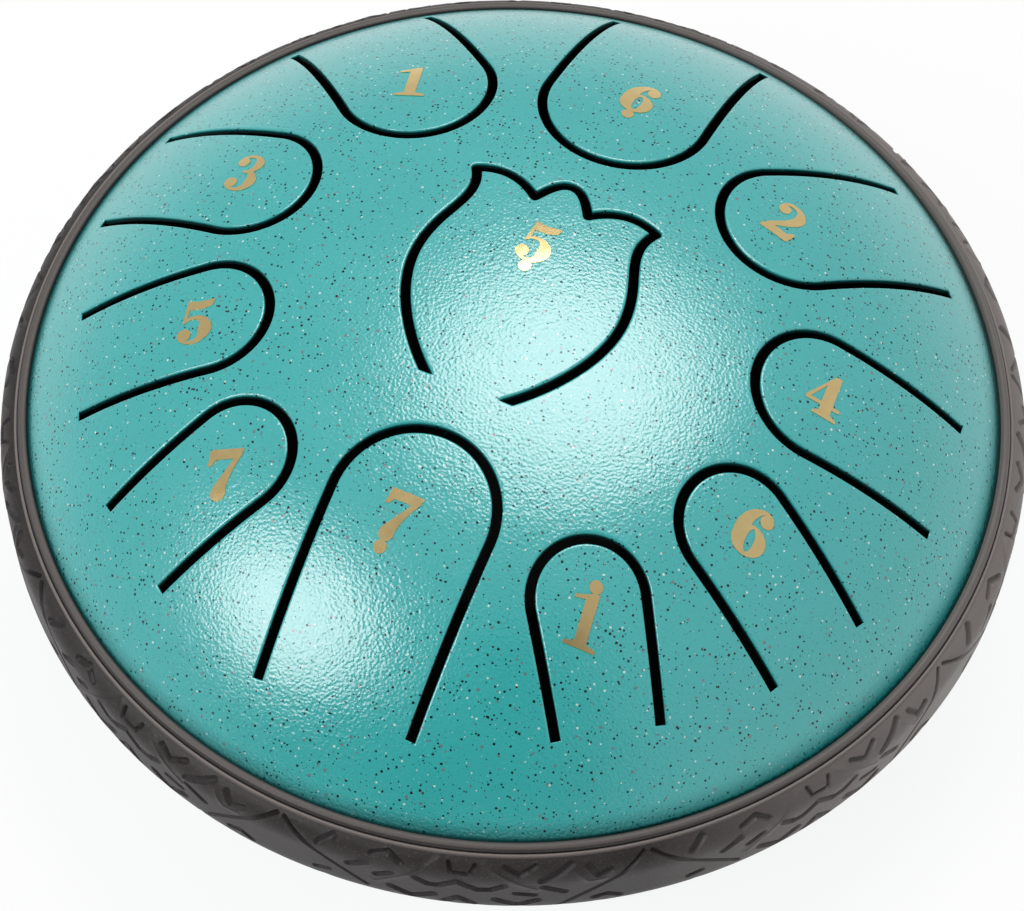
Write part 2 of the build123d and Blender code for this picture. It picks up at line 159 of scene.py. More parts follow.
def grown(loop, distance):
    """A closed loop that runs counter-clockwise, moved outwards."""
    after = np.roll(loop, -1, axis=0) - loop
    after /= np.linalg.norm(after, axis=1)[:, None]
    right = np.stack([after[:, 1], -after[:, 0]], -1)
    left = np.roll(right, 1, axis=0)
    share = 1 + (right * left).sum(1)
    return loop + distance * (right + left) / np.maximum(share, 0.6)[:, None]


def crossing(first, second):
    """Where the end of one line meets the start of the next, or None."""
    for i in range(len(first) - 2, max(len(first) - 40, -1), -1):
        for j in range(min(len(second) - 1, 40)):
            p, r = first[i], first[i + 1] - first[i]
            q, s = second[j], second[j + 1] - second[j]
            cross = r[0] * s[1] - r[1] * s[0]
            if abs(cross) < 1e-12:
                continue
            t = ((q[0] - p[0]) * s[1] - (q[1] - p[1]) * s[0]) / cross
            u = ((q[0] - p[0]) * r[1] - (q[1] - p[1]) * r[0]) / cross
            if 0 <= t <= 1 and 0 <= u <= 1:
                return i, j, p + t * r
    return None


def beside(lines, distance, step=EDGE_STEP):
    """A row of lines moved aside, with arcs round outer corners and clean cuts at inner ones."""
    sides = [moved_aside(line, distance) for line in lines]
    whole = sides[0]
    for corner, side in zip((line[0] for line in lines[1:]), sides[1:]):
        met = crossing(whole, side)
        if met:
            i, j, point = met
            whole = np.concatenate([whole[: i + 1], [point], side[j + 1 :]])
            continue
        start = atan2(*(whole[-1] - corner)[::-1])
        sweep = (atan2(*(side[0] - corner)[::-1]) - start + pi) % (2 * pi) - pi
        whole = chain(whole, arc(corner, abs(distance), start, start + sweep, step), side)
    return whole


print("tools for outlines are ready")

# %% [markdown]
# The smooth lines of the tulip are cubic splines, and so is a pen stroke in general. A spline
# through points has no kinks because its bends on both sides of a point agree. Solving one small
# set of equations finds the directions at the points.


# %% Smooth lines through points
def spline(points, first=None, last=None):
    """Evenly spaced points on a smooth line. First and last are directions at its ends."""
    points = np.array(points, float)
    chords = np.linalg.norm(np.diff(points, axis=0), axis=1)
    marks = np.concatenate([[0], np.cumsum(chords)])
    count = len(points)
    if count == 3:
        fine = np.linspace(0, marks[-1], 200)
        curve = [np.polyval(np.polyfit(marks, points[:, axis], 2), fine) for axis in range(2)]
        return evenly(np.stack(curve, -1))

    rows = np.zeros((count, count))
    right = np.zeros((count, 2))
    rows[0, 0] = rows[-1, -1] = 1
    if first is None:
        for axis in range(2):
            near = np.polyfit(marks[:4], points[:4, axis], 3)
            far = np.polyfit(marks[-4:], points[-4:, axis], 3)
            right[0, axis] = np.polyval(np.polyder(near), marks[0])
            right[-1, axis] = np.polyval(np.polyder(far), marks[-1])
    else:
        right[0] = np.array(first) / np.linalg.norm(first)
        right[-1] = np.array(last) / np.linalg.norm(last)
    for i in range(1, count - 1):
        before, after = chords[i - 1], chords[i]
        rows[i, i - 1 : i + 2] = after, 2 * (before + after), before
        right[i] = 3 * (
            after / before * (points[i] - points[i - 1]) + before / after * (points[i + 1] - points[i])
        )
    slopes = np.linalg.solve(rows, right)
    pieces = []
    for i, chord in enumerate(chords):
        t = np.linspace(0, 1, 100)[:, None]
        pieces.append(
            points[i] * (1 + 2 * t) * (1 - t) ** 2
            + slopes[i] * chord * t * (1 - t) ** 2
            + points[i + 1] * (3 - 2 * t) * t**2
            + slopes[i + 1] * chord * (t - 1) * t**2
        )
    return evenly(np.concatenate(pieces))


def evenly(curve):
    """The same line with evenly spaced points."""
    run_length = np.concatenate([[0], np.cumsum(np.linalg.norm(np.diff(curve, axis=0), axis=1))])
    steps = max(4, round(run_length[-1] / EDGE_STEP) + 1)
    marks = np.linspace(0, run_length[-1], steps)
    return np.stack([np.interp(marks, run_length, curve[:, axis]) for axis in range(2)], -1)


print("a test line has", len(spline([(0, 0), (5, 5), (10, 0)])), "points")

# %% [markdown]
# Each tongue below keeps three things: the outline of its slot, the outline of the tongue inside
# it, and the line at its root, where the steel bends.

# %% Slots of the rim tongues
RIM_TONGUES = {
    "low_7": (0.0, 89.0, 36.8, 32.2, 33.0),
    "high_1": (34.6, 88.0, 55.2, 20.4, 22.3),
    "6": (63.7, 89.3, 52.7, 22.5, 22.9),
    "4": (95.4, 89.3, 48.4, 26.1, 27.0),
    "2": (134.0, 89.5, 43.0, 28.0, 29.8),
    "low_6": (180.0, 91.0, 35.0, 34.6, 34.6),
    "1": (-134.0, 92.5, 43.0, 30.8, 31.7),
    "3": (-95.4, 93.5, 49.9, 25.4, 27.5),
    "5": (-63.7, 89.5, 50.2, 24.2, 24.6),
    "7": (-34.6, 89.2, 54.3, 21.5, 22.4),
}


def strip(outer, inner):
    """Closed outline of a slot from its two edges, which run the same way."""
    return chain(outer, run(outer[-1], inner[-1])[1:], inner[::-1][1:], run(inner[0], outer[0])[1:-1])


def rim_slot(angle, root, tip, root_width, tip_width):
    """Slot of a rim tongue, from its angle, the distances of its root and tip, and its widths."""
    shoulder = tip + tip_width / 2
    turn = radians(angle)
    spin = np.array([[cos(turn), sin(turn)], [-sin(turn), cos(turn)]])

    def edge(aside):
        root_half, tip_half = root_width / 2 + aside, tip_width / 2 + aside
        right = run((root_half, -root), (tip_half, -shoulder))
        left = right[::-1] * (-1, 1)
        return chain(right, arc((0, -shoulder), tip_half, 0, pi), left) @ spin + (0, PATTERN_SHIFT)

    outer, inner = edge(SLOT_WIDTH / 2), edge(-SLOT_WIDTH / 2)
    inwards = np.array([0, 1]) @ spin
    return {"slot": strip(outer, inner), "tongue": inner, "inwards": inwards}


slots = {name: rim_slot(*sizes) for name, sizes in RIM_TONGUES.items()}
print("rim slots", len(slots))

# %% [markdown]
# The tulip is drawn as one half, from its root up its side, over the petal and to the top. The other
# half mirrors it. Both edges are drawn a little below the root and then cut there.

# %% Slot of the tulip
TULIP_SHIFT = -0.7
TULIP_ROOT_Y = -26.5
TULIP_FOOT = 4.0
TULIP_SIDE = [(8.4, -26.5), (16.0, -18.0), (22.15, -1.5), (20.6, 8.0), (18.15, 16.8), (19.7, 22.4)]
TULIP_PETAL = [(19.7, 22.4), (15.0, 23.6), (5.8, 20.0)]
TULIP_TOP = [(5.8, 20.0), (0.0, 25.6)]


def tulip_slot():
    side = spline(TULIP_SIDE)
    slope = (TULIP_SIDE[1][0] - TULIP_SIDE[0][0]) / (TULIP_SIDE[1][1] - TULIP_SIDE[0][1])
    foot = (TULIP_SIDE[0][0] - TULIP_FOOT * slope, TULIP_ROOT_Y - TULIP_FOOT)
    side = chain(run(foot, TULIP_SIDE[0]), side)
    petal = spline(TULIP_PETAL)
    top = spline(TULIP_TOP, (-0.6, 1.0), (-1.0, 0.0))
    mirror = np.array((-1, 1))
    lines = [side, petal, chain(top, top[::-1] * mirror), petal[::-1] * mirror, side[::-1] * mirror]

    def edge(aside):
        line = beside(lines, aside)
        above = np.flatnonzero(line[:, 1] > TULIP_ROOT_Y)
        first, last = above[0], above[-1]
        ends = []
        for low, high in ((first - 1, first), (last + 1, last)):
            share = (TULIP_ROOT_Y - line[low, 1]) / (line[high, 1] - line[low, 1])
            ends.append(line[low] + share * (line[high] - line[low]))
        return np.concatenate([[ends[0]], line[first : last + 1], [ends[1]]]) + (TULIP_SHIFT, PATTERN_SHIFT)

    outer, inner = edge(SLOT_WIDTH / 2), edge(-SLOT_WIDTH / 2)
    return {"slot": strip(outer, inner), "tongue": inner, "inwards": np.array([0.0, 1.0])}


slots["low_5"] = tulip_slot()
print("tulip outline", len(slots["low_5"]["slot"]), "points")

# %% [markdown]
# ## One sheet, cut by the slots
# The painted sheet rounds off softly at every slot. A Delaunay triangulation of the plan is a good
# way to get this: it takes the slot outlines and a few loops close around them as fixed edges,
# and fills the rest with even triangles. The distance to the slot then says how far each point
# drops on the rounded edge. Triangles inside a slot are thrown away, those inside a tongue become
# the tongue, and the rest is the shell. Because all pieces come out of one sheet, the tongue meets
# the shell without a gap at its root.

# %% Triangulate the plan
EDGE_ROUND = 0.4
EDGE_LOOPS = (0.0, 0.035, 0.11, 0.22, 0.4, 0.55)
DISC_RADIUS = 98.0
DISC_STEPS = 480
RIM_GAP = 1.0
FILL_STEP = 2.2
FILL_GAP = 0.7


def distance_to(points, loop):
    """Distance of each point to a closed loop."""
    near = np.full(len(points), np.inf)
    for start, end in zip(loop, np.roll(loop, -1, axis=0)):
        along = end - start
        share = np.clip((points - start) @ along / (along @ along), 0, 1)
        near = np.minimum(near, np.linalg.norm(points - start - share[:, None] * along, axis=1))
    return near


def inside(points, loop):
    """Which points lie inside a closed loop."""
    result = np.zeros(len(points), bool)
    x, y = points[:, 0], points[:, 1]
    for (x0, y0), (x1, y1) in zip(loop, np.roll(loop, -1, axis=0)):
        if y0 == y1:
            continue
        hit = (y0 > y) != (y1 > y)
        result ^= hit & (x < (x1 - x0) * (y - y0) / (y1 - y0) + x0)
    return result


def fill_points(step, low, high):
    """Points of a honeycomb over a rectangle."""
    rows = np.arange(low[1], high[1], step * sqrt(3) / 2)
    row = np.arange(low[0], high[0], step)
    lines = [np.column_stack([row + step / 2 * (i % 2), 0 * row + y]) for i, y in enumerate(rows)]
    return np.concatenate(lines)


def triangulate(loops, lines, fill):
    """Triangles over a plan, with closed loops and open lines kept as edges."""
    points, edges = [], []
    for line, closed in [(loop, True) for loop in loops] + [(line, False) for line in lines]:
        base = len(points)
        points.extend(map(tuple, line))
        edges.extend((base + i, base + i + 1) for i in range(len(line) - 1))
        if closed:
            edges.append((base + len(line) - 1, base))
    points.extend(map(tuple, fill))
    made = delaunay_2d_cdt([Vector(p) for p in points], edges, [], 0, 1e-5)
    flat = np.array([tuple(p) for p in made[0]])
    triangles = np.array([tuple(f) for f in made[2]])
    a, b, c = (flat[triangles[:, i]] for i in range(3))
    area = (b[:, 0] - a[:, 0]) * (c[:, 1] - a[:, 1]) - (b[:, 1] - a[:, 1]) * (c[:, 0] - a[:, 0])
    triangles[area < 0] = triangles[area < 0][:, ::-1]
    return flat, triangles[np.abs(area) > 1e-9]


loops = [on_circle((0, 0), DISC_RADIUS, np.linspace(0, 2 * pi, DISC_STEPS, endpoint=False))]
roots = []
fill = fill_points(FILL_STEP, (-DISC_RADIUS, -DISC_RADIUS), (DISC_RADIUS, DISC_RADIUS))
fill = fill[np.hypot(fill[:, 0], fill[:, 1]) < DISC_RADIUS - RIM_GAP]
for slot in slots.values():
    loops.extend(grown(slot["slot"], t) for t in EDGE_LOOPS)
    roots.append(run(slot["tongue"][-1], slot["tongue"][0]))
    near = np.minimum(distance_to(fill, slot["slot"]), distance_to(fill, roots[-1]))
    fill = fill[(near > EDGE_LOOPS[-1] + FILL_GAP) & ~inside(fill, slot["slot"])]
plan, triangles = triangulate(loops, roots, fill)
print("sheet", len(plan), "points", len(triangles), "triangles")

# %% [markdown]
# Each triangle now goes to the tongue, the slot or the shell that its middle lies in, and the points
# near a slot drop on the rounded edge.

# %% Sort the triangles into shell and tongues
centres = plan[triangles].mean(1)
owner = np.full(len(triangles), "shell", dtype=object)
slot_distance = np.full(len(plan), 9.0)
for name, slot in slots.items():
    owner[inside(centres, slot["tongue"])] = name
    owner[inside(centres, slot["slot"])] = "slot"
    low, high = slot["slot"].min(0) - 1, slot["slot"].max(0) + 1
    near = np.flatnonzero(((plan > low) & (plan < high)).all(1))
    slot_distance[near] = np.minimum(slot_distance[near], distance_to(plan[near], slot["slot"]))
owner[np.hypot(centres[:, 0], centres[:, 1]) > DISC_RADIUS] = "slot"
round_part = np.clip(EDGE_ROUND - slot_distance, 0, EDGE_ROUND)
edge_drop = EDGE_ROUND - np.sqrt(EDGE_ROUND**2 - round_part**2)
top_points = np.column_stack([plan, dome_level(*plan.T) - edge_drop])
under_points = np.column_stack([plan, dome_level(*plan.T, grow=-SHEET)])
print({name: int((owner == name).sum()) for name in ["shell", *slots]})

# %% [markdown]
# A piece of the sheet gets its triangles on the outside, the same ones turned over on the inside,
# and a wall along every free edge. The shell also runs on over its rim, down its wall and out to
# the narrow flange of the seam, as one turned strip under the rubber ring.


# %% Make meshes of the pieces
def placed(name, data):
    """New object in the scene."""
    thing = bpy.data.objects.new(name, data)
    bpy.context.scene.collection.objects.link(thing)
    return thing


def smooth(mesh, sharp):
    """Smooth shading, up to an angle between faces."""
    mesh.shade_smooth()
    mesh.set_sharp_from_angle(angle=radians(sharp))


def settle(piece, modifier):
    """Keeps what a modifier makes as the piece's plain mesh."""
    graph = bpy.context.evaluated_depsgraph_get()
    mesh = bpy.data.meshes.new_from_object(piece.evaluated_get(graph), depsgraph=graph)
    piece.modifiers.remove(modifier)
    piece.data = mesh
    return mesh


def new_piece(name, points, faces, sharp=35.0, within=None):
    """Object from points in millimetres and faces, smooth up to an angle. Within marks inner points."""
    mesh = bpy.data.meshes.new(name)
    mesh.from_pydata((np.asarray(points) * MM).tolist(), [], [list(map(int, face)) for face in faces])
    mesh.update()
    if within is not None:
        marks = mesh.attributes.new("within", "FLOAT", "POINT")
        marks.data.foreach_set("value", np.asarray(within, np.float32))
    smooth(mesh, sharp)
    return placed(name, mesh)


def turned(radius, level, turns):
    """Points at a distance from the axis and a level, turned by some angles."""
    return np.column_stack([radius * np.cos(turns), radius * np.sin(turns), 0 * turns + level])


def bands(rows):
    """Four-sided faces between rows of point numbers that run once round the axis."""
    faces = []
    for row, following in zip(rows, rows[1:]):
        faces += np.stack([row, following, np.roll(following, -1), np.roll(row, -1)], -1).tolist()
    return faces


def sheet_faces(mine):
    """Points and faces of a piece of the sheet, and its points' numbers in the plan."""
    used, local = np.unique(mine, return_inverse=True)
    local = local.reshape(mine.shape)
    count = len(used)
    faces = local.tolist() + (local[:, ::-1] + count).tolist()
    edges = np.concatenate([local[:, [0, 1]], local[:, [1, 2]], local[:, [2, 0]]])
    known = set(map(tuple, edges.tolist()))
    walls = [(a, b) for a, b in edges.tolist() if (b, a) not in known]
    points = np.concatenate([top_points[used], under_points[used]])
    return points, faces, walls, used


def rim_rows():
    """Section of the shell past the disc, from its outside over the flange to its inside."""
    sides = []
    for grow in (0.0, -SHEET):
        start = asin((DISC_RADIUS - SHOULDER_CENTRE[0]) / (SHOULDER_RADIUS + grow))
        shoulder = pi / 2 - np.linspace(start, BEND_SLOPE, 3)[1:]
        bend = pi / 2 - np.linspace(BEND_SLOPE, pi / 2, 9)[1:]
        sides.append([
            *on_circle(SHOULDER_CENTRE, SHOULDER_RADIUS + grow, shoulder),
            *on_circle(BEND_CENTRE, BEND_RADIUS + grow, bend),
        ])
    flange = SHELL_RADIUS + FLANGE_WIDTH
    lip = [(SHELL_RADIUS, SEAM_Z + SHEET), (flange, SEAM_Z + SHEET)]
    lip += [(flange, SEAM_Z), (SHELL_RADIUS - SHEET, SEAM_Z)]
    return sides[0] + lip + sides[1][::-1]


def make_shell():
    points, faces, walls, used = sheet_faces(triangles[owner == "shell"])
    count = len(used)
    on_rim = np.flatnonzero(np.abs(np.hypot(*plan[used].T) - DISC_RADIUS) < 1e-3)
    turns = np.arctan2(plan[used][on_rim, 1], plan[used][on_rim, 0])
    on_rim = on_rim[np.argsort(turns)]
    turns = np.sort(turns)
    rim = set(on_rim.tolist())
    faces += [(a, a + count, b + count, b) for a, b in walls if not (a in rim and b in rim)]
    within = [np.zeros(count), np.ones(count)]
    rows = [on_rim]
    section = rim_rows()
    for i, (radius, level) in enumerate(section):
        rows.append(np.arange(len(points), len(points) + len(turns)))
        points = np.concatenate([points, turned(radius, level, turns)])
        within.append(np.full(len(turns), i > len(section) / 2))
    rows.append(on_rim + count)
    faces += bands(rows)
    return new_piece("drum_top", points, faces, within=np.concatenate(within))


def make_tongue(name):
    points, faces, walls, used = sheet_faces(triangles[owner == name])
    count = len(used)
    faces += [(a, a + count, b + count, b) for a, b in walls]
    within = np.repeat([0.0, 1.0], count)
    return new_piece(f"drum_tongue_{name}", points, faces, within=within)


drum_top = make_shell()
tongues = {name: make_tongue(name) for name in slots}
print("top shell", len(drum_top.data.polygons), "faces")
print("tongues", [len(tongue.data.polygons) for tongue in tongues.values()], "faces")

# %% [markdown]
# The shell rides on the drum. A tongue is one sheet with the shell, so it bends at its root instead
# of turning on a pin. Here each tongue only gets its place baked into its points, and the CAD shell
# and tongues are hidden.

# %% Tie the shell to the drum
BEND_LENGTH = 7.0


def on_dome(point):
    return tuple(MM * value for value in (*point, float(dome_level(*point))))


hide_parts("top_shell")
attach(drum_top, "drum")
for name, tongue in tongues.items():
    root = (slots[name]["tongue"][0] + slots[name]["tongue"][-1]) / 2
    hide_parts(f"tongue_{name}")
    on_dome(root)
    on_dome(root + BEND_LENGTH * slots[name]["inwards"])
    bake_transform(tongue)
print("tongues tied", len(tongues))

# %% [markdown]
# ## A small language for nodes
# Node trees are easier to read as sums than as boxes. A Wire is a socket that takes part in Python
# arithmetic, and a Board adds any other node by its type, its settings and its inputs. The same
# two classes serve the materials and the Geometry Nodes.


# %% Wires and boards
class Wire:
    """A node's output that takes part in arithmetic."""

    def __init__(self, board, socket):
        self.board = board
        self.socket = socket

    def math(self, operation, *values, clamp=False):
        settings = {"operation": operation, "use_clamp": clamp}
        return self.board.add("ShaderNodeMath", settings, dict(enumerate(values)))

    def __add__(self, other):
        return self.math("ADD", self, other)

    def __sub__(self, other):
        return self.math("SUBTRACT", self, other)

    def __mul__(self, other):
        return self.math("MULTIPLY", self, other)

    def __truediv__(self, other):
        return self.math("DIVIDE", self, other)

    def __radd__(self, other):
        return self.math("ADD", other, self)

    def __rsub__(self, other):
        return self.math("SUBTRACT", other, self)

    def __rmul__(self, other):
        return self.math("MULTIPLY", other, self)

    def __rtruediv__(self, other):
        return self.math("DIVIDE", other, self)

    def below(self, other):
        return self.math("LESS_THAN", self, other)

    def clamped(self):
        return self.math("ADD", self, 0.0, clamp=True)

    def out(self, name):
        return Wire(self.board, self.socket.node.outputs[name])


class Board:
    """A node tree with one method that adds any node."""

    def __init__(self, tree):
        self.tree = tree

    def put(self, socket, value):
        """Links a wire to an input, or sets a plain value there."""
        if isinstance(value, Wire):
            self.tree.links.new(value.socket, socket)
        else:
            socket.default_value = value

    def add(self, kind, settings=None, inputs=None):
        """New node, as a wire from its first output."""
        node = self.tree.nodes.new(kind)
        for key, value in (settings or {}).items():
            setattr(node, key, value)
        for key, value in (inputs or {}).items():
            self.put(node.inputs[key], value)
        outputs = [socket for socket in node.outputs if socket.enabled]
        return Wire(self, outputs[0]) if outputs else node

    def mix(self, share, first, second):
        """Colour between two colours."""
        colours = {"Factor": share, 6: first, 7: second}
        return self.add("ShaderNodeMix", {"data_type": "RGBA"}, colours)

    def noise(self, place, scale, detail, roughness=0.5):
        """Cloudy values from 0 to 1, with a scale in cells per metre."""
        inputs = {"Vector": place, "Scale": scale, "Detail": detail, "Roughness": roughness}
        return self.add("ShaderNodeTexNoise", None, inputs)

    def bump(self, height, distance, strength=1.0):
        """Normal that heights tilt, with the distance in metres."""
        inputs = {"Strength": strength, "Distance": distance, "Height": height}
        return self.add("ShaderNodeBump", None, inputs)


def new_finish(name):
    """Material with its board and its shader, and the place on a piece as a first wire."""
    material = bpy.data.materials.new(name)
    material.use_nodes = True
    board = Board(material.node_tree)
    shader = material.node_tree.nodes["Principled BSDF"]
    return material, board, shader, board.add("ShaderNodeTexCoord").out("Object")


def feed(board, shader, **inputs):
    """Links or sets inputs of a shader, with underscores for the spaces in their names."""
    for key, value in inputs.items():
        board.put(shader.inputs[key.replace("_", " ")], value)


def around_axis(board, place):
    """Distance of a place to the axis, its height, and how far it lies to the photo's right, -1 to 1."""
    split = board.add("ShaderNodeSeparateXYZ", None, {"Vector": place})
    x, y = split.out("X"), split.out("Y")
    square = x * x + y * y
    return square.math("SQRT", square), split.out("Z"), 9.14 * x + 4.06 * y


def srgb(red, green, blue):
    """Linear colour of a colour in the usual 0 to 255 steps."""
    steps = [value / 255 for value in (red, green, blue)]
    return tuple(v / 12.92 if v <= 0.04045 else ((v + 0.055) / 1.055) ** 2.4 for v in steps) + (1.0,)


def grey(value):
    """Linear grey."""
    return (value, value, value, 1.0)


print("node tools are ready")

# %% [markdown]
# ## Speckled teal coat
# The steel wears a thick baked coat: teal, with black, brown and cream specks in it, and the
# soft dimples that are called orange peel. The specks are Voronoi cells. Each cell draws a random
# colour, which says whether it holds a speck and how large it is. The dimples are noise that feeds
# a Bump, at a wavelength of about a millimetre, so they break a highlight into the grains that one
# sees on such a coat. Shade is painted into the coat. In the crease beside the ring it turns dark
# teal, as painted shade and a painted dark reflection of the ring. The walls of the slots are
# painted dark teal and the inside nearly black, as painted shade. Metallic keeps these painted
# shades and the black specks from shining: a metal mirrors only in its own colour, and a dark one
# mirrors little.

# %% Coat with specks and dimples
SPECK_BLUR = 0.08
BROWN_SPECKS = {"cell": 1.5, "radius": 0.32, "share": 0.6, "seed": 0.31}
BLACK_SPECKS = {"cell": 0.82, "radius": 0.24, "share": 0.85, "seed": 0.0}
CREAM_SPECKS = {"cell": 1.1, "radius": 0.21, "share": 0.55, "seed": 0.77}
CREASE_SHADE_START = 96.8
CREASE_SHADE_WIDTH = 3.5
CREASE_SHADE_WIDER = 1.4


def specks(board, place, cell, radius, share, seed):
    """Mask of round specks: cell and radius in millimetres, and the share of cells that hold one."""
    offset = (seed, 2.3 * seed, -1.7 * seed)
    shifted = board.add("ShaderNodeVectorMath", {"operation": "ADD"}, {0: place, 1: offset})
    spread = {"Vector": shifted, "Scale": 1 / (cell * MM)}
    cells = board.add("ShaderNodeTexVoronoi", {"feature": "F1"}, spread)
    draw = board.add("ShaderNodeSeparateColor", None, {"Color": cells.out("Color")})
    luck = draw.out("Green")
    size = radius * (0.32 + 0.9 * luck * luck * luck)
    edge = (size - cells.out("Distance") * cell) / SPECK_BLUR + 0.5
    return edge.clamped() * draw.out("Red").below(share)


teal_coat, board, shader, place = new_finish("speckled_teal_coat")
ripple = board.noise(place, 2600.0, 1.0).out("Color")
wobble = board.add("ShaderNodeVectorMath", {"operation": "SCALE"}, {0: ripple, "Scale": 0.18 * MM})
ragged = board.add("ShaderNodeVectorMath", {"operation": "ADD"}, {0: place, 1: wobble})
clouds = board.noise(place, 55.0, 3.0)
grit = board.noise(place, 1900.0, 2.0)
black = specks(board, ragged, **BLACK_SPECKS)
colour = board.mix(clouds, srgb(39, 162, 161), srgb(47, 170, 169))
colour = board.mix((grit * 5 - 3.05).clamped() * 0.3, colour, srgb(20, 96, 95))
colour = board.mix(specks(board, ragged, **BROWN_SPECKS) * 0.7, colour, srgb(104, 92, 104))
colour = board.mix(black * 0.95, colour, srgb(8, 24, 30))
colour = board.mix(specks(board, ragged, **CREAM_SPECKS) * 0.85, colour, srgb(206, 226, 218))

# Painted shade: the coat turns dark teal in the crease beside the ring, wider towards the right, where the
# ring shades it and mirrors in it.
reach, level, rightwards = around_axis(board, place)
start = CREASE_SHADE_START * MM - CREASE_SHADE_WIDER * MM * rightwards.clamped()
crease_shade = ((reach - start) / (CREASE_SHADE_WIDTH * MM)).clamped()
crease_shade = crease_shade * crease_shade * ((level - 0.05) / 0.005).clamped()
colour = board.mix(crease_shade * 0.95, colour, srgb(12, 98, 98))
# Painted shade: the walls of the slots are painted dark teal and the inside of the drum nearly black,
# standing in for the shade within the drum.
inner_shade = board.add("ShaderNodeAttribute", {"attribute_name": "within"}).out("Fac")
deep_shade = (inner_shade * 4 - 2.9).clamped()
colour = board.mix((inner_shade * 3).clamped(), colour, srgb(6, 50, 52))
colour = board.mix(deep_shade, colour, srgb(6, 9, 10))

peel = board.bump(board.noise(place, 1700.0, 0.6, 0.4), 0.000078)
sheen = 0.22 + 0.12 * (clouds - 0.5) + 0.3 * inner_shade
# Metallic on the painted shade of the crease and the inside keeps them from mirroring, and likewise on the
# real black specks.
shade_and_speck_dull = (crease_shade + 0.6 * black + deep_shade).clamped() * 0.95
feed(board, shader, Base_Color=colour, Roughness=sheen, Metallic=shade_and_speck_dull, Normal=peel)
feed(board, shader, IOR=1.75, Specular_IOR_Level=0.75)
for piece in [drum_top, *tongues.values()]:
    piece.data.materials.append(teal_coat)
print("coat nodes", len(board.tree.nodes))

# %% [markdown]
# ## Gold foil numerals
# The numerals are thin foil on the tongues. The CAD solids have the right outline, but they are
# loose flat triangles, and foil mirrors every facet. A copy with its points merged takes the
# dome's own directions as its normals, so it shines as smoothly as the sheet below it. The foil
# follows the coat's dimples only faintly, and it is brushed a little by handling.

# %% Foil from the CAD outlines
FOIL_SHARP = 30.0
FACE_UP = 0.7


def make_foil(name):
    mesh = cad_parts[f"numeral_{name}"].data.copy()
    mesh.name = f"foil_{name}"
    mesh.materials.clear()
    foil = placed(mesh.name, mesh)
    weld = foil.modifiers.new("weld", "WELD")
    weld.merge_threshold = 1e-6
    merged = settle(foil, weld)
    smooth(merged, FOIL_SHARP)
    normals = []
    for polygon in merged.polygons:
        for index in polygon.vertices:
            x, y, _ = merged.vertices[index].co / MM
            out = Vector(dome_normals(np.array(x), np.array(y)))
            facing = polygon.normal.dot(out)
            normals.append(out if facing > FACE_UP else -out if facing < -FACE_UP else polygon.normal)
    merged.normals_split_custom_set([tuple(n) for n in normals])
    merged.materials.append(gold_foil)
    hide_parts(f"numeral_{name}")
    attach(foil, f"tongue_{name}")
    return foil


gold_foil, board, shader, place = new_finish("gold_foil")
rub = board.noise(place, 420.0, 4.0)
colour = board.mix(rub, srgb(236, 204, 138), srgb(247, 224, 164))
dents = board.bump(board.noise(place, 640.0, 1.5, 0.45), 0.00001)
feed(board, shader, Base_Color=colour, Metallic=1.0, Roughness=0.1 + 0.12 * rub, Normal=dents)
foils = [make_foil(name) for name in slots]
print("numerals", len(foils))

# %% [markdown]
# ## Rubber ring
# The ring is moulded like a tyre: a round bead lies on the dome, a fine ridge runs beside it, and
# the wall carries a tread. The tread repeats nine times, which makes it a good case for Geometry
# Nodes. One ninth is modelled flat, again with a triangulation: grooves are strokes whose
# outlines become fixed edges, and the points inside sink. Then it is bent round the axis, and
# the node tree sets out nine copies.

# %% Section of the ring
RING_RADIUS = 106.2
RING_HALF_HEIGHT = 10.0
RING_CORNER = 5.5
LIP_RADIUS = 100.0
LIP_Z = 58.96
BEAD_RADIUS = 1.05
LIP_STEP = 0.55
RIDGE_RADIUS = 0.35
RIDGE_OFFSET = 2.45
RIDGE_RISE = 0.15
REPEATS = 9
UNIT_STEPS = 72
TREAD_TURN = radians(-51.8)

corner_r = RING_RADIUS - RING_CORNER
corner_z = RING_HALF_HEIGHT - RING_CORNER
unit_length = 2 * pi * RING_RADIUS / REPEATS
half_unit = unit_length / 2
tread_start = asin((LIP_RADIUS + RIDGE_OFFSET + RIDGE_RADIUS - corner_r) / RING_CORNER)
arc_length = RING_CORNER * (pi / 2 - tread_start)
tread_width = 2 * (arc_length + corner_z)


def tread_section(v):
    """Radius, height over the seam and outward direction at a distance along the tread."""
    from_middle = np.abs(v - tread_width / 2)
    slope = pi / 2 - np.maximum(from_middle - corner_z, 0) / RING_CORNER
    side = np.sign(tread_width / 2 - v)
    flat = np.minimum(from_middle, corner_z)
    radius = corner_r + RING_CORNER * np.sin(slope)
    level = side * (flat + RING_CORNER * np.cos(slope))
    return radius, level, np.sin(slope), side * np.cos(slope)


def lip_rows():
    """Section of the ring from the tread over the ridge and the bead to its inside, above the seam."""
    ridge_r = LIP_RADIUS + RIDGE_OFFSET
    ridge_z = corner_z + sqrt(RING_CORNER**2 - (ridge_r - corner_r) ** 2) + RIDGE_RISE
    ridge = on_circle((ridge_r, ridge_z), RIDGE_RADIUS, np.linspace(0.15, pi - 0.15, 7))
    valley = (LIP_RADIUS + 2 * BEAD_RADIUS + 0.02, ridge_z - 0.45)
    middle = (LIP_RADIUS + BEAD_RADIUS, LIP_Z - SEAM_Z - LIP_STEP)
    bead = on_circle(middle, BEAD_RADIUS, np.linspace(-0.2, pi + 0.3, 16))
    return [*ridge, valley, *bead]


print("tread", round(unit_length, 1), "by", round(tread_width, 1), "mm, lip rows", len(lip_rows()))

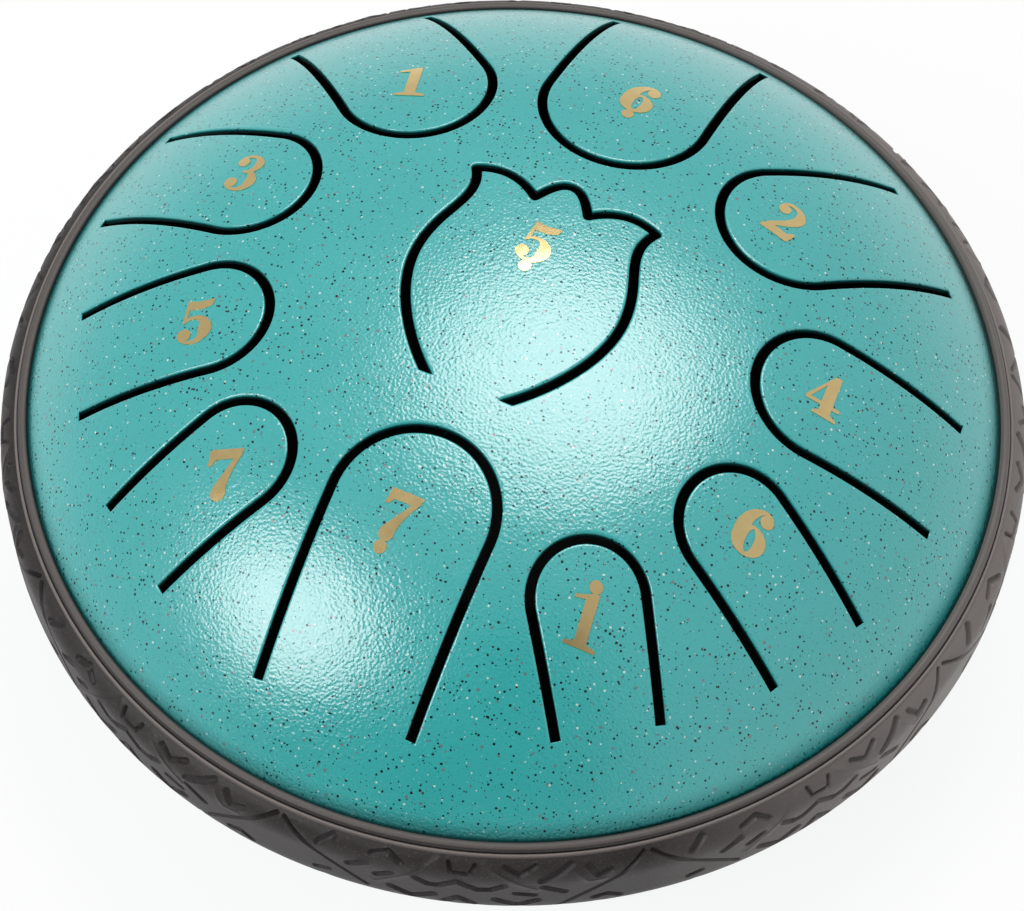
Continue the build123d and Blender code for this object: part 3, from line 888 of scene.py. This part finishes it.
# %% [markdown]
# The strokes below are the moulded pattern of one ninth, from the tip of one large arrow to the tip
# of the next, measured from its middle and from its upper edge. Wide strokes are grooves: the legs
# of the arrows, rows of zigzags, and short bars. Fine strokes are raised lines that the mould left.

# %% Tread pattern
GROOVES = [
    ([(36.3, 1.2), (29.6, 7.2), (22.8, 13.4), (18.6, 17.6)], 0.6),
    ([(-36.3, 1.4), (-29.0, 6.6), (-22.0, 12.0), (-18.2, 15.2)], 0.6),
    ([(-2.4, 1.5), (-1.9, 3.7), (1.9, 3.9), (2.8, 1.7)], 0.6),
    ([(-8.6, 7.2), (-6.2, 9.0), (-4.2, 9.0), (-0.6, 6.4), (3.4, 9.3), (6.0, 9.1), (8.6, 7.2)], 1.05),
    ([(-13.6, 13.2), (-9.4, 15.8), (-5.0, 13.4)], 1.05),
    ([(-3.0, 16.2), (-0.4, 13.6), (2.8, 16.2)], 1.0),
    ([(7.0, 13.6), (11.2, 16.0), (15.2, 13.8)], 1.05),
    ([(-17.6, 2.7), (-14.4, 1.6), (-11.8, 3.4)], 0.85),
    ([(8.6, 2.0), (11.6, 3.6), (14.8, 1.7)], 0.8),
    ([(15.8, 5.4), (19.6, 3.2), (21.8, 1.6)], 0.95),
    ([(16.2, 7.8), (20.4, 10.4)], 1.0),
    ([(25.0, 2.2), (26.8, 4.8), (29.4, 3.8)], 0.85),
    ([(-28.4, 3.9), (-25.8, 1.4)], 1.0),
    ([(-22.0, 7.8), (-18.4, 5.2)], 1.05),
    ([(-16.4, 9.4), (-13.4, 7.2)], 1.0),
    ([(10.8, 10.6), (14.6, 11.4)], 0.85),
    ([(-28.9, 14.2), (-26.2, 13.4)], 0.85),
    ([(26.2, 14.6), (28.8, 13.6), (31.4, 15.2)], 0.85),
    ([(-31.0, 19.2), (-27.0, 17.6), (-23.0, 19.6)], 0.95),
    ([(-13.0, 20.2), (-9.0, 18.6), (-5.0, 20.2)], 0.95),
    ([(5.0, 20.2), (9.0, 18.6), (13.0, 20.2)], 0.95),
    ([(23.0, 19.6), (27.0, 17.8), (31.0, 19.4)], 0.95),
]
SEAMS = [
    ([(-4.4, 1.2), (-16.8, 12.6)], 0.22),
    ([(4.6, 1.4), (6.6, 2.9), (13.2, 7.6), (15.0, 8.8)], 0.22),
    ([(22.8, 3.6), (25.0, 6.6), (28.2, 6.0)], 0.2),
]
GROOVE_DEPTH = 0.7
GROOVE_WALL = 0.55
GROOVE_STEP = 0.45
SEAM_HEIGHT = 0.12
SEAM_WALL = 0.14
STEPS_ACROSS = 22
TREAD_FILL = 1.6
TREAD_MARGIN = 0.8
TREAD_GAP = 0.6
INNER_RADIUS = 102.4
INNER_HALF_HEIGHT = 6.0


def stroke_outline(points, half):
    """Closed outline of a pen stroke with round ends."""
    lines = [np.stack([np.linspace(a[i], b[i], 5) for i in range(2)], -1) for a, b in zip(points, points[1:])]
    right = beside(lines, half, GROOVE_STEP)
    back = beside([line[::-1] for line in lines[::-1]], half, GROOVE_STEP)
    ends = []
    for side, tip in ((right, points[-1]), (back, points[0])):
        start = atan2(*(side[-1] - np.array(tip))[::-1])
        ends.append(arc(tip, half, start, start + pi, GROOVE_STEP)[1:-1])
    return chain(right, ends[0], back, ends[1])


def make_tread_plan():
    """Points of one ninth of the tread with their heights, and triangles."""
    loops, inner = [], []
    for points, half in GROOVES:
        loops.append(stroke_outline(points, half))
        inner.append((stroke_outline(points, half - GROOVE_WALL), -GROOVE_DEPTH))
    for points, half in SEAMS:
        loops.append(stroke_outline(points, half))
        inner.append((stroke_outline(points, half - SEAM_WALL), SEAM_HEIGHT))
    across = np.linspace(0, tread_width, STEPS_ACROSS + 1)
    along = np.linspace(-half_unit, half_unit, UNIT_STEPS + 1)
    border = np.concatenate([
        np.column_stack([along, 0 * along]),
        np.column_stack([0 * across + half_unit, across])[1:],
        np.column_stack([along, 0 * along + tread_width])[::-1][1:],
        np.column_stack([0 * across - half_unit, across])[::-1][1:-1],
    ])
    low = (TREAD_MARGIN - half_unit, TREAD_MARGIN)
    fill = fill_points(TREAD_FILL, low, (half_unit - TREAD_MARGIN, tread_width - TREAD_MARGIN))
    for loop in loops:
        fill = fill[(distance_to(fill, loop) > TREAD_GAP) & ~inside(fill, loop)]
    plan, triangles = triangulate([border, *loops, *[loop for loop, _ in inner]], [], fill)
    height = np.zeros(len(plan))
    for loop, level in inner:
        height[inside(plan, loop) | (distance_to(plan, loop) < 1e-4)] = level
    return plan, height, triangles


def make_tread_unit():
    """One ninth of the ring, bent round the axis."""
    plan, height, triangles = make_tread_plan()
    radius, level, out_r, out_z = tread_section(plan[:, 1])
    turn = TREAD_TURN + (plan[:, 0] - half_unit) / RING_RADIUS
    radius, level = radius + height * out_r, SEAM_Z + level + height * out_z
    points = turned(radius, level, turn)
    faces = triangles[:, ::-1].tolist()
    top = lip_rows()
    inner_wall = [(INNER_RADIUS, z) for z in (INNER_HALF_HEIGHT, -INNER_HALF_HEIGHT)]
    first, last = (tread_section(np.array(edge))[:2] for edge in (0.0, tread_width))
    section = [first, *top, *inner_wall, *[(r, -z) for r, z in reversed(top)], last]
    turns = TREAD_TURN + (np.linspace(-half_unit, half_unit, UNIT_STEPS + 1) - half_unit) / RING_RADIUS
    numbers = len(points) + np.arange(len(section) * len(turns)).reshape(-1, len(turns))
    for row, following in zip(numbers, numbers[1:]):
        faces += np.stack([row[:-1], row[1:], following[1:], following[:-1]], -1).tolist()
    points = np.concatenate([points, *[turned(r, SEAM_Z + z, turns) for r, z in section]])
    depth = np.concatenate([np.clip(-height / GROOVE_DEPTH, 0, 1), np.zeros(numbers.size)])
    return new_piece("rubber_tread", points, faces, within=depth)


ring = make_tread_unit()
print("one ninth of the ring", len(ring.data.polygons), "faces")

# %% [markdown]
# Geometry Nodes now set out the nine copies. The tree makes nine points on the axis, turns a copy
# at each by its share of a full turn, makes the copies real, merges the seams between them and
# gives them the rubber. Its inputs are the number of copies and the material.


# %% Node tree for copies round the axis
def turned_copies_tree():
    tree = bpy.data.node_groups.new("turned_copies", "GeometryNodeTree")
    sockets = {"Unit": "NodeSocketGeometry", "Copies": "NodeSocketInt", "Finish": "NodeSocketMaterial"}
    for name, kind in sockets.items():
        tree.interface.new_socket(name, in_out="INPUT", socket_type=kind)
    tree.interface.new_socket("Pieces", in_out="OUTPUT", socket_type="NodeSocketGeometry")
    board = Board(tree)
    given = board.add("NodeGroupInput")
    points = board.add("GeometryNodePoints", None, {"Count": given.out("Copies")})
    turn = board.add("GeometryNodeInputIndex") * (2 * pi) / given.out("Copies")
    facing = board.add("ShaderNodeCombineXYZ", None, {"Z": turn})
    rotation = board.add("FunctionNodeEulerToRotation", None, {"Euler": facing})
    copies = board.add(
        "GeometryNodeInstanceOnPoints", None,
        {"Points": points, "Instance": given.out("Unit"), "Rotation": rotation},
    )
    real = board.add("GeometryNodeRealizeInstances", None, {"Geometry": copies})
    merged = board.add("GeometryNodeMergeByDistance", None, {"Geometry": real, "Distance": 2e-6})
    coated = board.add("GeometryNodeSetMaterial", None, {"Geometry": merged, "Material": given.out("Finish")})
    board.add("NodeGroupOutput", None, {"Pieces": coated})
    return tree


def set_out(piece, tree, **inputs):
    """Runs a node tree on a piece and keeps the result as its plain mesh."""
    modifier = piece.modifiers.new(tree.name, "NODES")
    modifier.node_group = tree
    for item in tree.interface.items_tree:
        if item.in_out == "INPUT" and item.name in inputs:
            modifier[item.identifier] = inputs[item.name]
    settle(piece, modifier)


turned_copies = turned_copies_tree()
print("nodes in the tree", len(turned_copies.nodes))

# %% [markdown]
# The rubber is a dull grey brown with the fine grain of the mould. Towards the right it is painted
# paler as a painted sheen, and in the grooves it is painted darker as painted shade. Pale bands on
# the bead and the ridge are painted highlights, and the dark line between them is painted shade.

# %% Rubber of the ring
BAND_BLUR = 0.25
# Painted highlights on the bead and the ridge, and painted shade in the line between them.
PAINTED_RING_BANDS = {
    "bead": (101.1, 0.7, (90, 84, 81)),
    "ridge": (102.45, 0.4, (128, 120, 116)),
    "line": (102.13, 0.2, (18, 17, 17)),
}
RING_SHARP = 50.0

ring_rubber, board, shader, place = new_finish("ring_rubber")
patches = board.noise(place, 60.0, 4.0)
grain = board.noise(place, 2300.0, 2.0)
reach, _, rightwards = around_axis(board, place)
colour = board.mix(patches, srgb(27, 23, 23), srgb(46, 40, 40))
# Painted light: the rubber is painted paler towards the right, where it would catch a sheen.
colour = board.mix(((rightwards - 0.25) / 0.6).clamped() * 0.6, colour, srgb(140, 132, 128))
for middle, half, tone in PAINTED_RING_BANDS.values():
    away = reach - middle * MM
    painted_band = ((half * MM - away.math("ABSOLUTE", away)) / (BAND_BLUR * MM) + 0.5).clamped()
    colour = board.mix(painted_band * 0.8, colour, srgb(*tone))
colour = board.mix((grain * 4 - 2.2).clamped() * 0.2, colour, srgb(128, 118, 114))
# Painted shade: the grooves are painted darker the deeper they sink.
groove_shade = board.add("ShaderNodeAttribute", {"attribute_name": "within"}).out("Fac")
colour = board.mix(groove_shade * 0.5, colour, srgb(18, 17, 17))
bump = board.bump(grain, 0.00006, 0.7)
feed(board, shader, Base_Color=colour, Roughness=0.4 + 0.2 * patches, Normal=bump, Specular_IOR_Level=0.4)
set_out(ring, turned_copies, Copies=REPEATS, Finish=ring_rubber)
smooth(ring.data, RING_SHARP)
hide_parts("rubber_ring")
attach(ring, "drum")
print("ring", len(ring.data.polygons), "faces")

# %% [markdown]
# ## Bottom shell
# The bottom shell is a bowl with a flat floor and a sound hole, whose edge is drawn inwards. It is
# the same round all the way, so one section turned about the axis makes it.


# %% Turned pieces
def turned_piece(name, section, steps, within=None):
    """Closed section of radius and level, turned about the axis with its inside on the left."""
    turns = np.linspace(0, 2 * pi, steps, endpoint=False)
    points = np.concatenate([turned(r, z, turns) for r, z in section])
    numbers = np.arange(len(points)).reshape(-1, steps)
    marks = None if within is None else np.repeat(within, steps)
    return new_piece(name, points, bands([*numbers, numbers[0]]), within=marks)


def bowl_section():
    """Section of the bottom shell, and a mark for each point, 1 on the inside of the bowl."""
    centre = SHELL_RADIUS - BOWL_RADIUS
    top = BASE_Z + SHEET + HOLE_COLLAR

    def bowl(grow):
        return on_circle((centre, SEAM_Z), BOWL_RADIUS + grow, -np.linspace(0, pi / 2, 16))

    flange = SHELL_RADIUS + FLANGE_WIDTH
    under = SEAM_Z - SHEET
    outside = [(flange, SEAM_Z), (flange, under), (SHELL_RADIUS - 0.03, under), *bowl(0)[2:]]
    collar = HOLE_RADIUS + SHEET
    bend = on_circle((collar, BASE_Z + SHEET), SHEET, -pi / 2 - np.array([0.0, 0.4, 0.8, 1.2, pi / 2]))
    edge = [(HOLE_RADIUS, top - EDGE_ROUND), (HOLE_RADIUS + EDGE_ROUND, top), (collar - EDGE_ROUND, top)]
    inside_rows = [*edge, (collar, top - EDGE_ROUND), (collar, BASE_Z + SHEET), *bowl(-SHEET)[::-1]]
    outer_rows = [*outside, *bend]
    return outer_rows + inside_rows, [0.0] * len(outer_rows) + [1.0] * len(inside_rows)


# Points marked 1 get the coat's painted shade: the inside of the bowl and the edge of the sound hole are
# painted nearly black.
bowl_rows, bowl_marks = bowl_section()
drum_bottom = turned_piece("drum_bottom", bowl_rows, 240, within=bowl_marks)
drum_bottom.data.materials.append(teal_coat)
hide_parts("bottom_shell")
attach(drum_bottom, "drum")
print("bottom shell", len(drum_bottom.data.polygons), "faces")

# %% [markdown]
# ## Feet and fasteners
# Four rubber feet carry the drum. One foot is a turned section with a deep recess for the screw,
# moved out to its place, and the node tree sets out four.

# %% Feet
FOOT_CIRCLE = 50.0
FOOT_SHARP = 30.0
foot_section = [
    (2.05, 4.5), (4.6, 4.5), (4.6, 0.25), (4.85, 0.0), (7.0, 0.0), (7.55, 0.16), (7.9, 0.5), (8.06, 1.0),
    (8.32, 3.0), (8.28, 3.15), (8.28, 3.75), (8.42, 3.9), (8.94, 7.6), (8.9, 7.85), (8.7, 8.0), (2.05, 8.0),
]
feet = turned_piece("rubber_feet", foot_section, 48)
feet.data.transform(Matrix.Translation((FOOT_CIRCLE * MM / sqrt(2), FOOT_CIRCLE * MM / sqrt(2), 0)))
foot_rubber, board, shader, place = new_finish("foot_rubber")
dust = board.noise(place, 120.0, 4.0)
colour = board.mix((dust * 3 - 1.4).clamped() * 0.5, srgb(26, 26, 27), srgb(58, 57, 56))
bump = board.bump(board.noise(place, 1800.0, 2.0), 0.00005, 0.6)
feed(board, shader, Base_Color=colour, Roughness=0.55 + 0.2 * dust, Normal=bump)
set_out(feet, turned_copies, Copies=4, Finish=foot_rubber)
smooth(feet.data, FOOT_SHARP)
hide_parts("foot_1", "foot_2", "foot_3", "foot_4")
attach(feet, "drum")
print("feet", len(feet.data.polygons), "faces")

# %% [markdown]
# The fasteners and the weld are good as CAD gives them. The washers get plated steel and the weld
# stays bare. The screws and nuts get nearly black steel, which is painted shade: they lie in shade
# inside and under the drum.


# %% Steel of the fasteners and the weld
def steel(name, dark, bright, roughness, scale):
    """Bare or plated steel with cloudy colour and a fine grain."""
    finish, board, shader, place = new_finish(name)
    cloud = board.noise(place, scale, 4.0)
    bump = board.bump(board.noise(place, 9 * scale, 2.0), 0.00004, 0.4)
    sheen = roughness + 0.25 * (cloud - 0.5)
    feed(board, shader, Base_Color=board.mix(cloud, dark, bright), Metallic=1.0, Roughness=sheen, Normal=bump)
    return finish


plated = steel("zinc_plate", srgb(150, 150, 146), srgb(196, 195, 188), 0.32, 260.0)
bead_steel = steel("weld_bead", srgb(84, 80, 78), srgb(126, 118, 110), 0.5, 420.0)
# Painted shade: nearly black steel for the screws and nuts, which lie in shade inside and under the drum.
shade_black_steel = steel("steel_black_as_shade", srgb(16, 16, 16), srgb(30, 29, 28), 0.6, 260.0)
fittings = {"foot_washers": plated, "foot_screws": shade_black_steel, "foot_nuts": shade_black_steel, "seam_weld": bead_steel}
for node, finish in fittings.items():
    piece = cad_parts[node]
    for slot in piece.material_slots:
        slot.material = finish
    if not piece.material_slots:
        piece.data.materials.append(finish)
print("fittings dressed", len(fittings))

# %% [markdown]
# ## Floor, light and camera
# The drum stands on white. The floor shows white to the camera and to reflections, and keeps a soft
# shadow. Under the middle of the drum, where one looks down on it through the slots and the sound
# hole, it is painted nearly black as a painted shadow.

# %% Floor
FLOOR_REACH = 6.0
SHADOW_SPOT_RADIUS = 0.04
SHADOW_SPOT_FADE = 0.02

corners = [(-1, -1), (1, -1), (1, 1), (-1, 1)]
floor_mesh = bpy.data.meshes.new("floor")
floor_mesh.from_pydata([(FLOOR_REACH * x, FLOOR_REACH * y, 0) for x, y in corners], [], [(0, 1, 2, 3)])
floor = placed("floor", floor_mesh)
floor_white, board, shader, spot = new_finish("floor_white")
reach = board.add("ShaderNodeVectorMath", {"operation": "LENGTH"}, {0: spot}).out("Value")
# Painted shadow: the floor is painted nearly black under the middle of the drum, and does not glow there.
outside_painted_shadow = ((reach - SHADOW_SPOT_RADIUS) / SHADOW_SPOT_FADE).clamped()
feed(board, shader, Base_Color=board.mix(outside_painted_shadow, grey(0.01), grey(0.9)), Roughness=0.9)
ray = board.add("ShaderNodeLightPath")
glow = board.add("ShaderNodeEmission", None, {"Color": grey(1.0), "Strength": 1.0})
seen = (ray.out("Is Camera Ray") + ray.out("Is Glossy Ray") + ray.out("Is Transmission Ray")).clamped()
matt = Wire(board, shader.outputs[0])
both = board.add("ShaderNodeMixShader", None, {0: seen * outside_painted_shadow * 0.88, 1: matt, 2: glow})
board.put(board.tree.nodes["Material Output"].inputs["Surface"], both)
floor_mesh.materials.append(floor_white)
print("floor nodes", len(board.tree.nodes))

# %% [markdown]
# The sky is brightest at the horizon, which gives the pale edges of the coat. It is darker to the
# front and a little darker to the left.

# %% Sky
SKY_LEVELS = [(0.0, 0.98), (0.2, 0.69), (0.5, 0.62), (1.0, 0.52)]

world = bpy.data.worlds.new("studio")
bpy.context.scene.world = world
world.use_nodes = True
board = Board(world.node_tree)
direction = board.add("ShaderNodeTexCoord").out("Generated")
split = board.add("ShaderNodeSeparateXYZ", None, {"Vector": direction})
east, north, height = (split.out(axis) for axis in "XYZ")
flat = 1.0001 - height * height
ahead = (0.1 * east - 0.995 * north) / flat.math("SQRT", flat)
sky = board.add("ShaderNodeValToRGB", None, {"Fac": height})
stops = sky.socket.node.color_ramp.elements
while len(stops) < len(SKY_LEVELS):
    stops.new(1.0)
for stop, (level, bright) in zip(stops, SKY_LEVELS):
    stop.position, stop.color = level, grey(bright)
front = ((ahead - 0.62) / 0.3).clamped()
over_horizon = (0.35 + (height - 0.12) / 0.2).clamped()
below_top = ((0.97 - height) / 0.12).clamped()
sky = board.mix(front * over_horizon * below_top, sky, grey(0.1))
leftwards = (0.12 - 0.11 * east - 0.05 * north).clamped()
sky = board.mix(leftwards, sky, grey(0.0))
feed(board, world.node_tree.nodes["Background"], Color=sky, Strength=1.0)
print("sky nodes", len(board.tree.nodes))

# %% [markdown]
# Two large soft lamps make the two highlights, one high behind the drum and one high at its front
# left. A lamp is placed by the point of the dome that mirrors it and the direction it is seen in.


# %% Lamps
def softbox(name, target, direction, distance, size, power):
    """Round lamp that the dome mirrors at a target, in a direction."""
    light = bpy.data.lights.new(name, "AREA")
    light.shape = "DISK"
    light.size = size
    light.energy = power
    lamp = placed(name, light)
    away = Vector(direction).normalized()
    lamp.location = Vector(target) + distance * away
    lamp.rotation_euler = away.to_track_quat("Z", "Y").to_euler()
    print(name, [round(value, 3) for value in lamp.location])


softbox(
    "lamp_behind", target=(0.012, -0.012, 0.097), direction=(-0.045, 0.38, 0.924),
    distance=1.3, size=0.82, power=8.3,
)
softbox(
    "lamp_front_left", target=(-0.017, -0.073, 0.081), direction=(-0.42, -0.57, 0.70),
    distance=1.3, size=0.8, power=8.0,
)

# %% [markdown]
# The camera stands where the photo was taken from, fitted to the slots and to the lip of the ring. Its
# lens is given as a number of picture widths.

# %% Camera
LENS_WIDTHS = 3400 / 1024
CAMERA_PLACE = (0.13936, -0.33880, 0.65616)
CAMERA_RIGHT = (0.9139, 0.40563, 0.01587)
CAMERA_UP = (-0.35691, 0.78426, 0.50749)
CAMERA_BACK = (0.19341, -0.46946, 0.86151)

lens = bpy.data.cameras.new("camera")
lens.sensor_width = 36.0
lens.lens = LENS_WIDTHS * lens.sensor_width
camera = placed("camera", lens)
axes = Matrix((CAMERA_RIGHT, CAMERA_UP, CAMERA_BACK)).transposed()
camera.matrix_world = Matrix.Translation(CAMERA_PLACE) @ axes.to_4x4()
bpy.context.scene.camera = camera
bpy.context.scene.view_settings.view_transform = "Standard"
print("lens", round(lens.lens, 2), "mm")
